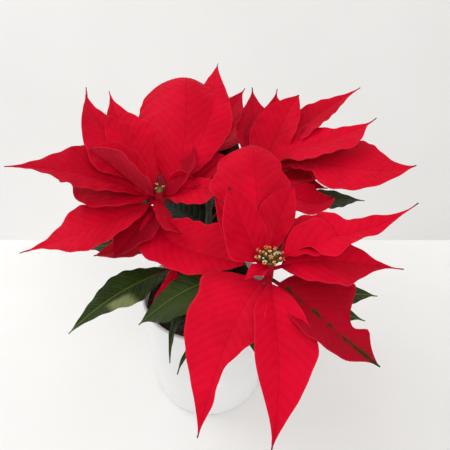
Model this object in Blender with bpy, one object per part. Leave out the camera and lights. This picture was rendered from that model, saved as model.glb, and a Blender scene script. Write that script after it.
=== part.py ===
"""A potted poinsettia: a white glazed pot, soil, a trunk with four leafy stems, and on each
stem a head of red bracts round a small cluster of flowers. Lengths in the tables are in mm."""

import math
import random

import bmesh
import bpy
import numpy as np

MM = 0.001
UP = np.array([0.0, 0.0, 1.0])
GAP = 0.3

# Pot
POT_HEIGHT = 132.0
POT_BASE_RADIUS = 60.0
POT_RIM_RADIUS = 67.0
POT_WALL = 4.0
POT_FLOOR = 6.0
FOOT_ROUND = 1.5
FLOOR_ROUND = 3.0
RIM_ROUND = 1.8
RIM_CORNER = (0.8, 0.4)
POT_SIDES = 36

# Soil
SOIL_TOP = 117.0
SOIL_SIDES = 26
SOIL_ROUGHNESS = 1.6
SOIL_RINGS = 4

# Trunk
TRUNK_RADIUS = 6.0
TRUNK_FOOT = 75.0
TRUNK_TOP = 134.0
TRUNK_RINGS = ((TRUNK_FOOT, 6.0), (95.0, 6.0), (118.0, 6.0), (130.0, 5.8), (137.0, 4.4))
TRUNK_SIDES = 10
STUB_SIDES = 8
STUB_LENGTH = 16.0
STUB_RADIUS = 4.4
STUB_RISE = 0.9

# Stems and heads
STEM_RADIUS = 3.6
STEM_TAPER = 0.5
STEM_FIRST_BEND = 0.35
STEM_LAST_BEND = 0.45
HEAD_STEM_RADII = (3.0, 3.4, 4.0)
HEAD_STEM_LENGTH = 38.0
STEM_SIDES = 6
STEM_ROWS = 7

# Flowers
FLOWER_SEAT_RADII = (3.6, 3.0)
FLOWER_SEAT_HEIGHT = 2.0
STALK_RADIUS = 0.9
STALK_SIDES = 3
STALK_FOOT_OUT = 1.2
STALK_FOOT_UP = 1.0
CUP_RADIUS = 1.8
CUP_LENGTH = 4.5
CUP_SIDES = 5
# Along a cup, how wide it is at each place, as shares of its length and its radius.
CUP_SHAPE = ((0.0, 0.6), (0.55, 1.0), (1.0, 0.55))
OUTER_RING_TURN = 0.35

# Blades
THICKNESS = 0.7
TAIL_HALF_WIDTH = 0.55
STALK_HALF_WIDTH = 1.3
BASE_FULLNESS = 0.65
MARGIN_STEP = 1.7
MOST_ROWS = 8
LEAST_ROWS = 5
ROW_LENGTH = 18.5
BLADE_COLUMNS = 4
LOBE_SPAN = 0.16

# How many flowers stand in each ring of a head, how far out the ring is and how high.
FLOWER_RINGS = {
    "front": ((4, 3.0, 4.5), (8, 6.6, 4.5)),
    "left": ((3, 2.6, 2.5),),
    "right": ((5, 5.0, 6.0),),
    "back": ((5, 5.0, 7.0),),
}

HEADS = {
    "front": (53, -80, 240),
    "left": (-40, 6, 250),
    "right": (50, 42, 252),
    "back": (2, 80, 260),
}


def blade(
    tip,
    width,
    drop=5.0,
    reach=(0.33, 0.67),
    arch=(0.0, 0.0),
    sway=(0.0, 0.0),
    belly=0.40,
    tail=1.6,
    petiole=0.1,
    fold=(14.0, 14.0),
    curl=(0.0, 0.0),
    roll=(0.0, 0.0),
    lobes=(),
    wave=(1.5, 2.0, 0.0),
):
    """One bract or leaf.

    tip: where its point is. width: of its left and its right half at the widest. drop: how far
    below the top of the stem it grows, or for a green leaf how far up the stem, 0 to 1. reach:
    how far along the straight line to the tip the midrib's two bends are. arch and sway: how
    far each bend lifts the midrib off that line, and carries it to the right. belly: where it
    is widest. tail: how far the tip is drawn out. petiole: the share that is bare stalk. fold:
    how far each half rises from the midrib, left and right, in degrees. curl: how much further
    each margin turns. roll: turn about the midrib at the base and at the tip. lobes: (place,
    how far it stands out, side). wave: height, count and phase of the ripple at the margin."""
    return dict(
        tip=tip, width=width, drop=drop, reach=reach, arch=arch, sway=sway, belly=belly, tail=tail,
        petiole=petiole, fold=fold, curl=curl, roll=roll, lobes=lobes, wave=wave,
    )


BRACTS = {
    "front": {
        "down": blade(
            (51, -185, 160), (25, 20), drop=10, reach=(0.4, 0.65), arch=(26, 18),
            sway=(-2, -10), belly=0.48, petiole=0.1, fold=(6, 30), lobes=((0.47, 0.15, -1), (0.2, 0.12, 1)),
        ),
        "down_left": blade(
            (0, -181, 170), (22, 38), drop=13, arch=(18, 9), sway=(10, 6), belly=0.33,
            petiole=0.08, fold=(16, 0), lobes=((0.12, 0.4, 1), (0.55, -0.3, -1), (0.68, -0.3, -1)),
        ),
        "low_right": blade(
            (132, -138, 190), (42, 26), drop=15, arch=(8, 6), sway=(0, 8), belly=0.45,
            petiole=0.1,
            lobes=((0.64, -0.5, -1), (0.4, 0.1, 1), (0.75, 0.15, 1)),
        ),
        "right": blade(
            (156, -82, 235), (25, 27), drop=7, reach=(0.3, 0.6), arch=(14, 7), belly=0.45,
            tail=2.6, fold=(16, 4), lobes=((0.5, 0.12, 1),),
        ),
        "far_right": blade(
            (164, -58, 280), (20, 18), drop=4, reach=(0.35, 0.45), arch=(8, 0),
            sway=(-20, 20), belly=0.4, fold=(16, 10), tail=1.8,
            lobes=((0.22, 0.5, -1), (0.2, -0.3, 1), (0.5, 0.3, 1)), wave=(4, 3, 0.5),
        ),
        "right_back": blade(
            (104, -80, 254), (22, 10), drop=5, arch=(10, 8), sway=(-6, -4), belly=0.5,
            tail=0.8, petiole=0.25, fold=(35, 0),
        ),
        "up_left": blade(
            (22, -52, 290), (26, 18), drop=6, arch=(-20, -8), belly=0.55, tail=1.0,
            fold=(10, 10), lobes=((0.3, 0.2, -1),), petiole=0.2,
        ),
        "up_right": blade(
            (73, -36, 282), (17, 13), drop=5, arch=(-14, -4), sway=(-8, -6), belly=0.55,
            tail=1.1, petiole=0.22,
        ),
        "arched": blade(
            (43, 14, 292), (33, 29), drop=9, reach=(0.3, 0.62), arch=(-2, 30), sway=(-4, -5),
            belly=0.75, tail=0.12, petiole=0.15, fold=(-12, -16), curl=(-24, -28),
            lobes=((0.56, 0.3, -1), (0.6, 0.35, 1)),
        ),
        "behind_left": blade(
            (10, -20, 264), (12, 14), drop=10, arch=(-8, -3), sway=(-1, -7), petiole=0.2,
        ),
        "small_left": blade((33, -96, 236), (7, 7), drop=3, arch=(2, 2)),
    },
    "left": {
        "left": blade(
            (-167, -3, 280), (22, 34), drop=12, reach=(0.25, 0.7), arch=(12, 14),
            sway=(8, -4), belly=0.45, tail=2.4, fold=(6, 18),
        ),
        "back_left": blade(
            (-117, 100, 310), (32, 20), drop=11, reach=(0.42, 0.5), arch=(-2, 30),
            sway=(6, -34), belly=0.4, tail=2.6, lobes=((0.3, 0.2, -1),),
        ),
        "back_mid": blade(
            (-96, 103, 305), (20, 28), drop=9, reach=(0.35, 0.5), arch=(6, 20),
            sway=(-6, -14), belly=0.45, tail=2.2,
        ),
        "tall_right": blade(
            (12, 129, 324), (20, 20), drop=5, reach=(0.23, 0.58), arch=(27, 23),
            sway=(46, 15), belly=0.48, tail=1.7, fold=(0, -6), curl=(0, -20),
            lobes=((0.42, 0.15, 1), (0.2, -0.45, -1)), wave=(1.0, 2.0, 0.0),
        ),
        "broad_back": blade(
            (-20, 130, 278), (60, 38), drop=6, reach=(0.05, 0.72), arch=(10, 120),
            sway=(38, 4), belly=0.46, tail=1.0, fold=(-6, -8), curl=(-44, -40),
            wave=(1.0, 2.0, 0.0),
        ),
        "low_left": blade(
            (-138, 28, 250), (31, 24), drop=6, reach=(0.25, 0.68), arch=(6, 8),
            sway=(-14, -12), fold=(4, 25), belly=0.5, lobes=((0.6, -0.15, -1), (0.75, -0.4, -1)),
        ),
        "front_left": blade(
            (-155, -45, 220), (24, 27), drop=8, reach=(0.32, 0.75), arch=(6, 4),
            sway=(-18, -10), belly=0.5, tail=3.0, fold=(0, 10), lobes=((0.5, 0.12, 1),),
        ),
        "folded": blade(
            (-97, 12, 288), (28, 22), drop=8, arch=(-8, 6), fold=(60, 34), curl=(0, 20),
            belly=0.6, tail=1.0,
        ),
        "big_front": blade(
            (36, -63, 223), (27, 26), drop=8, reach=(0.06, 0.71), arch=(-30, -6), sway=(38, 11),
            belly=0.5, tail=1.1, fold=(30, -4), curl=(20, -6),
            lobes=((0.22, -0.15, -1), (0.75, 0.3, -1), (0.3, 0.15, 1)),
        ),
        "under_front": blade(
            (-100, -25, 200), (18, 20), drop=34, arch=(-2, 0), sway=(-16, -12), belly=0.5,
        ),
        "hanging": blade(
            (-47, -71, 166), (9, 9), drop=34, reach=(0.43, 0.58), arch=(-5, -5),
            sway=(-18, -24), belly=0.6, petiole=0.45, tail=0.9,
        ),
        "small_back": blade(
            (-6, 9, 257), (18, 8), drop=5, sway=(-9, 0), belly=0.5, tail=0.7, petiole=0.25,
            fold=(55, -10), curl=(70, 0),
        ),
        "small_right": blade(
            (18, -13, 267), (10, 17), drop=7, reach=(0.26, 0.69), arch=(8, -3), sway=(-10, 1),
            belly=0.5, tail=0.8, petiole=0.06, fold=(40, -25),
        ),
        "small_dark": blade(
            (-9, 28, 282), (9, 10), drop=6, reach=(0.24, 0.75), arch=(2, -2), sway=(18, 11),
            belly=0.5, tail=1.2,
        ),
        "upright_right": blade(
            (21, 26, 274), (20, 16), drop=6, arch=(-6, 1), sway=(7, 4), fold=(24, 10),
            belly=0.6, tail=0.8,
        ),
        "shaded": blade(
            (-76, -44, 214), (22, 22), drop=16, arch=(2, 2), belly=0.45, tail=1.2, petiole=0.05,
        ),
        "collar": blade(
            (-18, -38, 236), (16, 6), drop=6, arch=(1, -3), sway=(9, 12), belly=0.45, tail=0.8,
            petiole=0.05, fold=(0, 0), curl=(0, -60), roll=(45, 45),
        ),
        "under_back": blade((-58, 108, 222), (26, 28), drop=20, belly=0.45, petiole=0.04),
    },
    "right": {
        "left_back": blade((48, 143, 294), (20, 22), drop=8, arch=(2, 0), tail=2.0),
        "back_a": blade(
            (73, 125, 299), (20, 22), drop=9, arch=(0, -4), tail=2.0, lobes=((0.75, 0.3, 1),),
        ),
        "back_b": blade((93, 106, 300), (27, 20), drop=5, arch=(-2, 8), tail=1.2),
        "far_back": blade(
            (159, 126, 300), (20, 22), drop=7, reach=(0.31, 0.5), arch=(14, 14),
            sway=(-8, 2), belly=0.42,
        ),
        "far_right": blade(
            (158, 55, 298), (24, 30), drop=12, reach=(0.18, 0.69), arch=(31, -6),
            sway=(-7, 9), belly=0.45, tail=1.9, fold=(10, 4),
            lobes=((0.2, -0.45, 1), (0.42, 0.3, -1), (0.66, -0.2, -1), (0.75, 0.35, 1)),
        ),
        "right": blade(
            (181, -1, 280), (42, 34), drop=15, reach=(0.21, 0.68), arch=(30, -4),
            sway=(-29, 23), belly=0.55, tail=1.5, fold=(10, -4),
            lobes=((0.18, -0.5, 1), (0.36, -0.5, 1)),
        ),
        "front": blade(
            (118, 6, 243), (22, 26), drop=24, reach=(0.22, 0.73), arch=(31, -11),
            sway=(13, 26), belly=0.7, tail=0.7,
        ),
        "cupped": blade((115, 23, 242), (22, 18), drop=18, arch=(-4, 0), fold=(24, 24)),
        "low_right": blade((170, 70, 238), (24, 24), drop=20, arch=(6, 8)),
        "low_back": blade((130, 128, 248), (24, 24), drop=18, arch=(6, 8)),
    },
    "back": {
        "right": blade((40, 137, 295), (20, 20), drop=6, arch=(2, 2), tail=2.0),
        "left": blade((-52, 142, 284), (26, 26), drop=8, arch=(0, 2)),
        "low_left": blade((-30, 186, 240), (26, 26), drop=16, arch=(10, 12)),
        "low_right": blade((58, 184, 234), (26, 26), drop=18, arch=(10, 12)),
        "inner": blade((-10, 118, 290), (13, 13), drop=5, arch=(-8, -2)),
        "far_left": blade((-82, 128, 248), (24, 24), drop=20, arch=(6, 8)),
        "near": blade((6, 50, 230), (14, 14), drop=12, belly=0.5),
    },
}

LEAVES = {
    "front": {
        "left": blade(
            (-54, -83, 173), (37, 17), drop=0.97, reach=(0.25, 0.76), arch=(45, 13),
            sway=(20, 12), petiole=0.2, belly=0.6, tail=1.9,
        ),
        "hanging": blade(
            (-27, -106, 152), (9, 9), drop=0.75, reach=(0.46, 0.85), arch=(50, 44),
            sway=(20, 24), petiole=0.2, belly=0.5, tail=1.4,
        ),
        "low_hanging": blade(
            (-22, -104, 134), (6, 6), drop=0.5, reach=(0.43, 0.8), arch=(34, 20),
            sway=(-16, 6), petiole=0.2,
        ),
        "front": blade((46, -100, 150), (16, 16), drop=0.8, arch=(12, 12), petiole=0.2),
        "right": blade((153, -56, 180), (18, 18), drop=0.9, arch=(8, 10), petiole=0.2),
        "low_right": blade((140, -74, 168), (18, 18), drop=0.75, arch=(8, 12), petiole=0.2),
        "inner": blade(
            (8, -22, 204), (14, 14), drop=0.9, belly=0.5, petiole=0.3,
        ),
    },
    "left": {
        "front": blade(
            (-120, -73, 150), (24, 18), drop=0.3, arch=(14, 18), belly=0.45,
            lobes=((0.45, 0.15, -1),),
        ),
        "left": blade((-99, 23, 180), (20, 20), drop=0.85, arch=(6, 6), petiole=0.2),
        "back": blade((-110, 70, 200), (20, 20), drop=0.8, arch=(8, 10), petiole=0.2),
        "low_left": blade((-128, 20, 170), (20, 20), drop=0.5, arch=(10, 14), petiole=0.2),
    },
    "right": {
        "right": blade((170, 74, 194), (18, 22), drop=0.85, arch=(6, 10), petiole=0.25),
        "low_right": blade((147, -8, 188), (20, 20), drop=0.7, arch=(8, 12), petiole=0.2),
        "back": blade((110, 128, 195), (20, 20), drop=0.8, arch=(8, 12), petiole=0.2),
        "low_front": blade((126, 30, 150), (18, 18), drop=0.4, arch=(12, 14), petiole=0.2),
    },
    "back": {
        "left": blade((-62, 130, 190), (20, 20), drop=0.8, arch=(8, 12), petiole=0.2),
        "back": blade((16, 168, 180), (20, 20), drop=0.7, arch=(8, 14), petiole=0.2),
        "right": blade((62, 132, 165), (20, 20), drop=0.55, arch=(8, 12), petiole=0.2),
        "inner_left": blade((-62, 112, 170), (26, 28), drop=0.5, belly=0.5),
        "inner_front": blade((0, 10, 160), (26, 26), drop=0.4, belly=0.5),
        "inner_right": blade((34, 84, 172), (24, 26), drop=0.45, belly=0.5),
        "inner_back": blade((4, 136, 168), (26, 26), drop=0.4, belly=0.5),
        "upper": blade((34, 140, 236), (16, 16), drop=0.97, belly=0.5),
    },
}


def unit(v):
    return v / np.linalg.norm(v)


def bezier(points, t):
    a, b, c, d = points
    s = 1 - t
    place = s**3 * a + 3 * s * s * t * b + 3 * s * t * t * c + t**3 * d
    along = 3 * s * s * (b - a) + 6 * s * t * (c - b) + 3 * t * t * (d - c)
    return place, along


def half_width(spec, t, side):
    """Distance from the midrib to the margin at t, 0 at the stem and 1 at the tip."""
    petiole = spec["petiole"]
    width = spec["width"][0 if side < 0 else 1]
    if t <= petiole:
        return STALK_HALF_WIDTH
    u = (t - petiole) / (1 - petiole)
    belly = spec["belly"]
    if u < belly:
        shape = math.sin(math.pi / 2 * u / belly) ** BASE_FULLNESS
    else:
        v = (u - belly) / (1 - belly)
        shape = (1 - v) ** spec["tail"] * (1 + spec["tail"] * v)
    for place, amount, lobe_side in spec["lobes"]:
        if lobe_side == side:
            shape += amount * max(0.0, 1 - abs(u - place) / LOBE_SPAN)
    return max(STALK_HALF_WIDTH * (1 - u) + TAIL_HALF_WIDTH * u, width * shape)


def blade_sheet(spec, root, rows, columns):
    """The middle sheet of a blade, as rows along the midrib by columns from left to right."""
    base = np.array(root, float)
    tip = np.array(spec["tip"], float)
    chord = tip - base
    right = unit(np.cross(chord, UP))
    bends = [
        base + chord * share + UP * rise + right * shift
        for share, rise, shift in zip(spec["reach"], spec["arch"], spec["sway"])
    ]
    height, count, phase = spec["wave"]
    half = columns // 2
    sheet = np.zeros((rows + 1, 2 * half + 1, 3))
    for i in range(rows + 1):
        t = i / rows
        place, along = bezier((base, *bends, tip), t)
        along = unit(along)
        across = unit(right - along * np.dot(right, along))
        out = np.cross(across, along)
        turn = math.radians(spec["roll"][0] * (1 - t) + spec["roll"][1] * t)
        across, out = (
            across * math.cos(turn) + out * math.sin(turn),
            out * math.cos(turn) - across * math.sin(turn),
        )
        sheet[i, half] = place
        for side, k in ((-1, 0), (1, 1)):
            w = half_width(spec, t, side)
            spot = place.copy()
            fullness = math.sin(math.pi * t)
            for j in range(1, half + 1):
                share = j / half
                angle = math.radians(spec["fold"][k] + spec["curl"][k] * (j - 0.5) / half)
                spot = spot + (w / half) * (
                    across * side * math.cos(angle) + out * math.sin(angle)
                )
                ripple = height * share * share * fullness
                ripple *= math.sin(2 * math.pi * count * t + phase + MARGIN_STEP * side)
                sheet[i, half + side * j] = spot + out * ripple
    return sheet


def sheet_normals(sheet):
    """The direction straight out of the upper face at each point of a sheet."""
    du = np.gradient(sheet, axis=0)
    dv = np.gradient(sheet, axis=1)
    normals = np.cross(dv, du)
    return normals / np.linalg.norm(normals, axis=2, keepdims=True)


def blade_solid(spec, root, rows, columns):
    """Points and triangles of a blade with both faces alike and a rim between them."""
    sheet = blade_sheet(spec, root, rows, columns)
    normals = sheet_normals(sheet)
    n_rows, n_columns = sheet.shape[:2]
    upper = (sheet + normals * THICKNESS / 2).reshape(-1, 3)
    lower = (sheet - normals * THICKNESS / 2).reshape(-1, 3)
    points = np.concatenate([upper, lower])
    under = len(upper)
    faces = []
    for i in range(n_rows - 1):
        for j in range(n_columns - 1):
            a = i * n_columns + j
            b = a + 1
            c = a + n_columns + 1
            d = a + n_columns
            if (j < n_columns // 2) == (i % 2 == 0):
                pair = ((a, b, c), (a, c, d))
            else:
                pair = ((a, b, d), (b, c, d))
            for p, q, r in pair:
                faces.append((p, q, r))
                faces.append((p + under, r + under, q + under))
    ring = list(range(n_columns))
    ring += [i * n_columns + n_columns - 1 for i in range(1, n_rows)]
    ring += [(n_rows - 1) * n_columns + j for j in range(n_columns - 2, -1, -1)]
    ring += [i * n_columns for i in range(n_rows - 2, 0, -1)]
    for k, a in enumerate(ring):
        b = ring[(k + 1) % len(ring)]
        faces.append((a, a + under, b + under))
        faces.append((a, b + under, b))
    return points, faces


def row_count(spec, root):
    """How many rows a blade with a midrib this long needs."""
    rough = blade_sheet(spec, root, LEAST_ROWS, 2)[:, 1]
    length = np.linalg.norm(np.diff(rough, axis=0), axis=1).sum()
    return max(LEAST_ROWS, min(MOST_ROWS, round(length / ROW_LENGTH)))


def bract_root(head, spec):
    """Where a bract grows from the red stem of its head."""
    return np.array(HEADS[head], float) - UP * spec["drop"]


def fork_direction(head):
    """The way a stem leaves the trunk."""
    x, y, _ = HEADS[head]
    away = unit(np.array([x, y, 0.0]))
    return unit(away + UP * STUB_RISE)


def stem_line(head):
    """The four points that shape the green stem of a head, from its stub to its red top."""
    way = fork_direction(head)
    foot = UP * TRUNK_TOP + way * (STUB_LENGTH + GAP)
    top = np.array(HEADS[head], float) - UP * (HEAD_STEM_LENGTH + GAP)
    reach = np.linalg.norm(top - foot)
    return foot, foot + way * reach * STEM_FIRST_BEND, top - UP * reach * STEM_LAST_BEND, top


def leaf_root(head, spec):
    """Where a green leaf grows from the stem of a head."""
    return bezier(stem_line(head), spec["drop"])[0]


def tube(line, radii, sides, ends=None):
    """A closed round rod along a line of points, with its end faces square to ends."""
    line = np.array(line, float)
    along = np.gradient(line, axis=0)
    if ends:
        along[0], along[-1] = ends
    along /= np.linalg.norm(along, axis=1, keepdims=True)
    side = np.array([1.0, 0.0, 0.0])
    if abs(along[0][0]) > 0.8:
        side = np.array([0.0, 1.0, 0.0])
    points = []
    for place, way, radius in zip(line, along, radii):
        side = unit(side - way * np.dot(side, way))
        other = np.cross(way, side)
        for k in range(sides):
            turn = 2 * math.pi * k / sides
            points.append(place + radius * (side * math.cos(turn) + other * math.sin(turn)))
    faces = []
    for i in range(len(line) - 1):
        for k in range(sides):
            a = i * sides + k
            b = i * sides + (k + 1) % sides
            faces.append((a, b, b + sides))
            faces.append((a, b + sides, a + sides))
    last = (len(line) - 1) * sides
    for k in range(1, sides - 1):
        faces.append((0, k + 1, k))
        faces.append((last, last + k, last + k + 1))
    return np.array(points), faces


def lathe(profile, sides, bump=None):
    """A closed body turned about the upright axis. The profile starts and ends on the axis."""
    points = [(0.0, 0.0, profile[0][1])]
    rings = profile[1:-1]
    for i, (radius, height) in enumerate(rings):
        for k in range(sides):
            turn = 2 * math.pi * k / sides
            rise = bump(i, k) if bump else 0.0
            points.append((radius * math.cos(turn), radius * math.sin(turn), height + rise))
    points.append((0.0, 0.0, profile[-1][1]))
    top = len(points) - 1
    faces = []
    for k in range(sides):
        after = (k + 1) % sides
        faces.append((0, 1 + after, 1 + k))
        for i in range(len(rings) - 1):
            a = 1 + i * sides + k
            b = 1 + i * sides + after
            faces.append((a, b, b + sides))
            faces.append((a, b + sides, a + sides))
        last = 1 + (len(rings) - 1) * sides
        faces.append((last + k, last + after, top))
    return np.array(points), faces


def pot_radius(height):
    """Outer radius of the pot at a height."""
    share = height / POT_HEIGHT
    return POT_BASE_RADIUS + (POT_RIM_RADIUS - POT_BASE_RADIUS) * share


def pot_body():
    """The pot, hollow, with a flat foot and a rounded rim."""
    top_inner = POT_RIM_RADIUS - POT_WALL
    shoulder = POT_HEIGHT - RIM_ROUND
    corner, step = RIM_CORNER
    profile = [
        (0.0, 0.0),
        (POT_BASE_RADIUS - FOOT_ROUND, 0.0),
        (pot_radius(FOOT_ROUND), FOOT_ROUND),
        (pot_radius(POT_HEIGHT / 2), POT_HEIGHT / 2),
        (pot_radius(shoulder), shoulder),
        (POT_RIM_RADIUS - corner, POT_HEIGHT - step),
        (POT_RIM_RADIUS - POT_WALL / 2, POT_HEIGHT),
        (top_inner + corner, POT_HEIGHT - step),
        (top_inner, shoulder),
        (pot_radius(POT_FLOOR + FLOOR_ROUND) - POT_WALL, POT_FLOOR + FLOOR_ROUND),
        (pot_radius(POT_FLOOR) - POT_WALL - FLOOR_ROUND, POT_FLOOR),
        (0.0, POT_FLOOR),
    ]
    return lathe(profile, POT_SIDES)


def soil_body():
    """The soil, lumpy on top, with one plain hole for the trunk."""
    clumps = random.Random(7)
    hole = TRUNK_RADIUS + GAP
    bottom = POT_FLOOR + GAP
    side = bottom + FLOOR_ROUND
    rim = pot_radius(SOIL_TOP) - POT_WALL - GAP
    profile = [
        (0.0, bottom),
        (pot_radius(bottom) - POT_WALL - FLOOR_ROUND - GAP, bottom),
        (pot_radius(side) - POT_WALL - GAP, side),
    ]
    first_top = len(profile) - 1
    for i in range(SOIL_RINGS):
        radius = rim + (hole - rim) * i / (SOIL_RINGS - 1)
        profile.append((radius, SOIL_TOP))
    last_top = len(profile) - 2
    profile.append((hole, TRUNK_FOOT - GAP))
    profile.append((0.0, TRUNK_FOOT - GAP))

    def bump(i, k):
        if first_top <= i < last_top:
            return clumps.uniform(-SOIL_ROUGHNESS, SOIL_ROUGHNESS)
        return 0.0

    return lathe(profile, SOIL_SIDES, bump)


def trunk_pieces():
    """The trunk and its four stubs."""
    line = [UP * height for height, _ in TRUNK_RINGS]
    pieces = [tube(line, [radius for _, radius in TRUNK_RINGS], TRUNK_SIDES)]
    for head in HEADS:
        start = UP * TRUNK_TOP
        line = [start, start + fork_direction(head) * STUB_LENGTH]
        pieces.append(tube(line, (STUB_RADIUS, STUB_RADIUS), STUB_SIDES))
    return pieces


def leafy_stem_pieces(head):
    """A green stem and its leaves."""
    shape = stem_line(head)
    line = [bezier(shape, i / STEM_ROWS)[0] for i in range(STEM_ROWS + 1)]
    radii = [STEM_RADIUS - STEM_TAPER * i / STEM_ROWS for i in range(STEM_ROWS + 1)]
    ends = (shape[1] - shape[0], shape[3] - shape[2])
    pieces = [tube(line, radii, STEM_SIDES, ends)]
    for spec in LEAVES[head].values():
        root = leaf_root(head, spec)
        pieces.append(blade_solid(spec, root, row_count(spec, root), BLADE_COLUMNS))
    return pieces


def red_head_pieces(head):
    """The red top of a stem and its bracts."""
    top = np.array(HEADS[head], float)
    foot = top - UP * HEAD_STEM_LENGTH
    pieces = [tube([foot, (foot + top) / 2, top], HEAD_STEM_RADII, STEM_SIDES)]
    for spec in BRACTS[head].values():
        root = bract_root(head, spec)
        pieces.append(blade_solid(spec, root, row_count(spec, root), BLADE_COLUMNS))
    return pieces


def flower_pieces(head):
    """The small round seat, and on it the flowers, each a cup on a short stalk."""
    seat = np.array(HEADS[head], float) + UP * GAP
    pieces = [tube([seat, seat + UP * FLOWER_SEAT_HEIGHT], FLOWER_SEAT_RADII, STEM_SIDES)]
    for ring, (count, reach, lift) in enumerate(FLOWER_RINGS[head]):
        for k in range(count):
            turn = 2 * math.pi * (k + OUTER_RING_TURN * ring) / count
            away = np.array([math.cos(turn), math.sin(turn), 0.0])
            start = seat + UP * STALK_FOOT_UP + away * STALK_FOOT_OUT
            cup = seat + away * reach + UP * lift
            way = unit(cup - start)
            stalk = (STALK_RADIUS, STALK_RADIUS)
            pieces.append(tube([start, cup + way], stalk, STALK_SIDES))
            line = [cup + way * CUP_LENGTH * share for share, _ in CUP_SHAPE]
            pieces.append(tube(line, [CUP_RADIUS * wide for _, wide in CUP_SHAPE], CUP_SIDES))
    return pieces


def material(name, colour, roughness, metallic=0.0):
    made = bpy.data.materials.new(name)
    made.use_nodes = True
    surface = made.node_tree.nodes["Principled BSDF"]
    surface.inputs["Base Color"].default_value = (*colour, 1.0)
    surface.inputs["Roughness"].default_value = roughness
    surface.inputs["Metallic"].default_value = metallic
    return made


def mesh_of(name, piece, origin):
    """A mesh in metres, with its points measured from the origin of its object."""
    points, faces = piece
    mesh = bpy.data.meshes.new(name)
    mesh.from_pydata([tuple(p) for p in (points - origin) * MM], [], faces)
    mesh.update()
    return mesh


def keep_one_body(mesh):
    """Fills any hollow that fusing sealed, and drops loose scraps."""
    bm = bmesh.new()
    bm.from_mesh(mesh)
    bmesh.ops.triangulate(bm, faces=bm.faces)
    unseen = set(bm.verts)
    bodies = []
    while unseen:
        queue = [unseen.pop()]
        body = set(queue)
        while queue:
            for edge in queue.pop().link_edges:
                for vert in edge.verts:
                    if vert in unseen:
                        unseen.remove(vert)
                        body.add(vert)
                        queue.append(vert)
        bodies.append(body)
    bodies.sort(key=len)
    for body in bodies[:-1]:
        bmesh.ops.delete(bm, geom=list(body), context="VERTS")
    bm.to_mesh(mesh)
    bm.free()


def body_of(name, pieces, look, origin, angle, carrier=None):
    """One object at its origin, fused from overlapping pieces and held by its carrier."""
    body = bpy.data.objects.new(name, mesh_of(name, pieces[0], origin))
    bpy.context.scene.collection.objects.link(body)
    if len(pieces) > 1:
        fuse(body, pieces[1:], origin)
    body.data.materials.clear()
    body.data.materials.append(look)
    body.data.shade_smooth()
    body.data.set_sharp_from_angle(angle=math.radians(angle))
    body.location = origin * MM
    if carrier:
        body.parent = carrier
        body.location -= carrier.matrix_world.translation
    bpy.context.view_layer.update()
    return body


def fuse(body, pieces, origin):
    """Joins the pieces to the body by one union."""
    others = bpy.data.collections.new(body.name + "_others")
    for k, piece in enumerate(pieces):
        name = f"{body.name}_{k}"
        others.objects.link(bpy.data.objects.new(name, mesh_of(name, piece, origin)))
    join = body.modifiers.new("join", "BOOLEAN")
    join.operation = "UNION"
    join.operand_type = "COLLECTION"
    join.solver = "MANIFOLD"
    join.collection = others
    graph = bpy.context.evaluated_depsgraph_get()
    whole = bpy.data.meshes.new_from_object(body.evaluated_get(graph))
    body.modifiers.clear()
    body.data = whole
    for one in list(others.objects):
        bpy.data.objects.remove(one)
    bpy.data.collections.remove(others)
    keep_one_body(whole)


def main():
    for old in list(bpy.data.objects):
        bpy.data.objects.remove(old)
    glaze = material("white_glaze", (0.86, 0.87, 0.88), 0.25)
    earth = material("dark_soil", (0.035, 0.024, 0.017), 0.95)
    bark = material("brown_bark", (0.20, 0.16, 0.09), 0.8)
    green = material("leaf_green", (0.035, 0.075, 0.025), 0.55)
    red = material("bract_red", (0.60, 0.006, 0.022), 0.6)
    yellow_green = material("flower_green", (0.40, 0.42, 0.06), 0.5)
    pot = body_of("pot", [pot_body()], glaze, UP * 0.0, 40)
    body_of("soil", [soil_body()], earth, UP * (POT_FLOOR + GAP), 60, pot)
    trunk = body_of("trunk", trunk_pieces(), bark, UP * TRUNK_FOOT, 40, pot)
    for name, hub in HEADS.items():
        foot = stem_line(name)[0]
        top = np.array(hub, float)
        stem = body_of("leafy_stem_" + name, leafy_stem_pieces(name), green, foot, 35, trunk)
        head = body_of("red_head_" + name, red_head_pieces(name), red, top, 35, stem)
        body_of("flowers_" + name, flower_pieces(name), yellow_green, top + UP * GAP, 40, head)


if __name__ == "__main__":
    main()
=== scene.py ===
"""The looks of a potted poinsettia: veined red bracts and green leaves, the small flowers in
the middle of each head, soil, a white glazed pot, and a pale table. Shapes are in mm."""

import math
import random

import bpy
import numpy as np
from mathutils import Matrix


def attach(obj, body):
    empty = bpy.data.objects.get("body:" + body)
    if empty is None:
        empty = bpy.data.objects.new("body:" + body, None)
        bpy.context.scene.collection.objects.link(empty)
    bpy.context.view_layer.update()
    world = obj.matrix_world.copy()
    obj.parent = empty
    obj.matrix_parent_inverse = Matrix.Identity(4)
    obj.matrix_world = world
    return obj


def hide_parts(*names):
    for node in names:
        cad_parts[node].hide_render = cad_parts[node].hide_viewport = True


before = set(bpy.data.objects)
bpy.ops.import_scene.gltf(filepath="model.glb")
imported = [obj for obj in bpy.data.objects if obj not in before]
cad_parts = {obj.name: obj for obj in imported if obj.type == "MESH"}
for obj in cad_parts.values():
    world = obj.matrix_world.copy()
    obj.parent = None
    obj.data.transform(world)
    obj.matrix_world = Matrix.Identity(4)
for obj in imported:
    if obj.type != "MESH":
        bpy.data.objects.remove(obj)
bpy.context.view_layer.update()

MM = 0.001
UP = np.array([0.0, 0.0, 1.0])
GAP = 0.3

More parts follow.
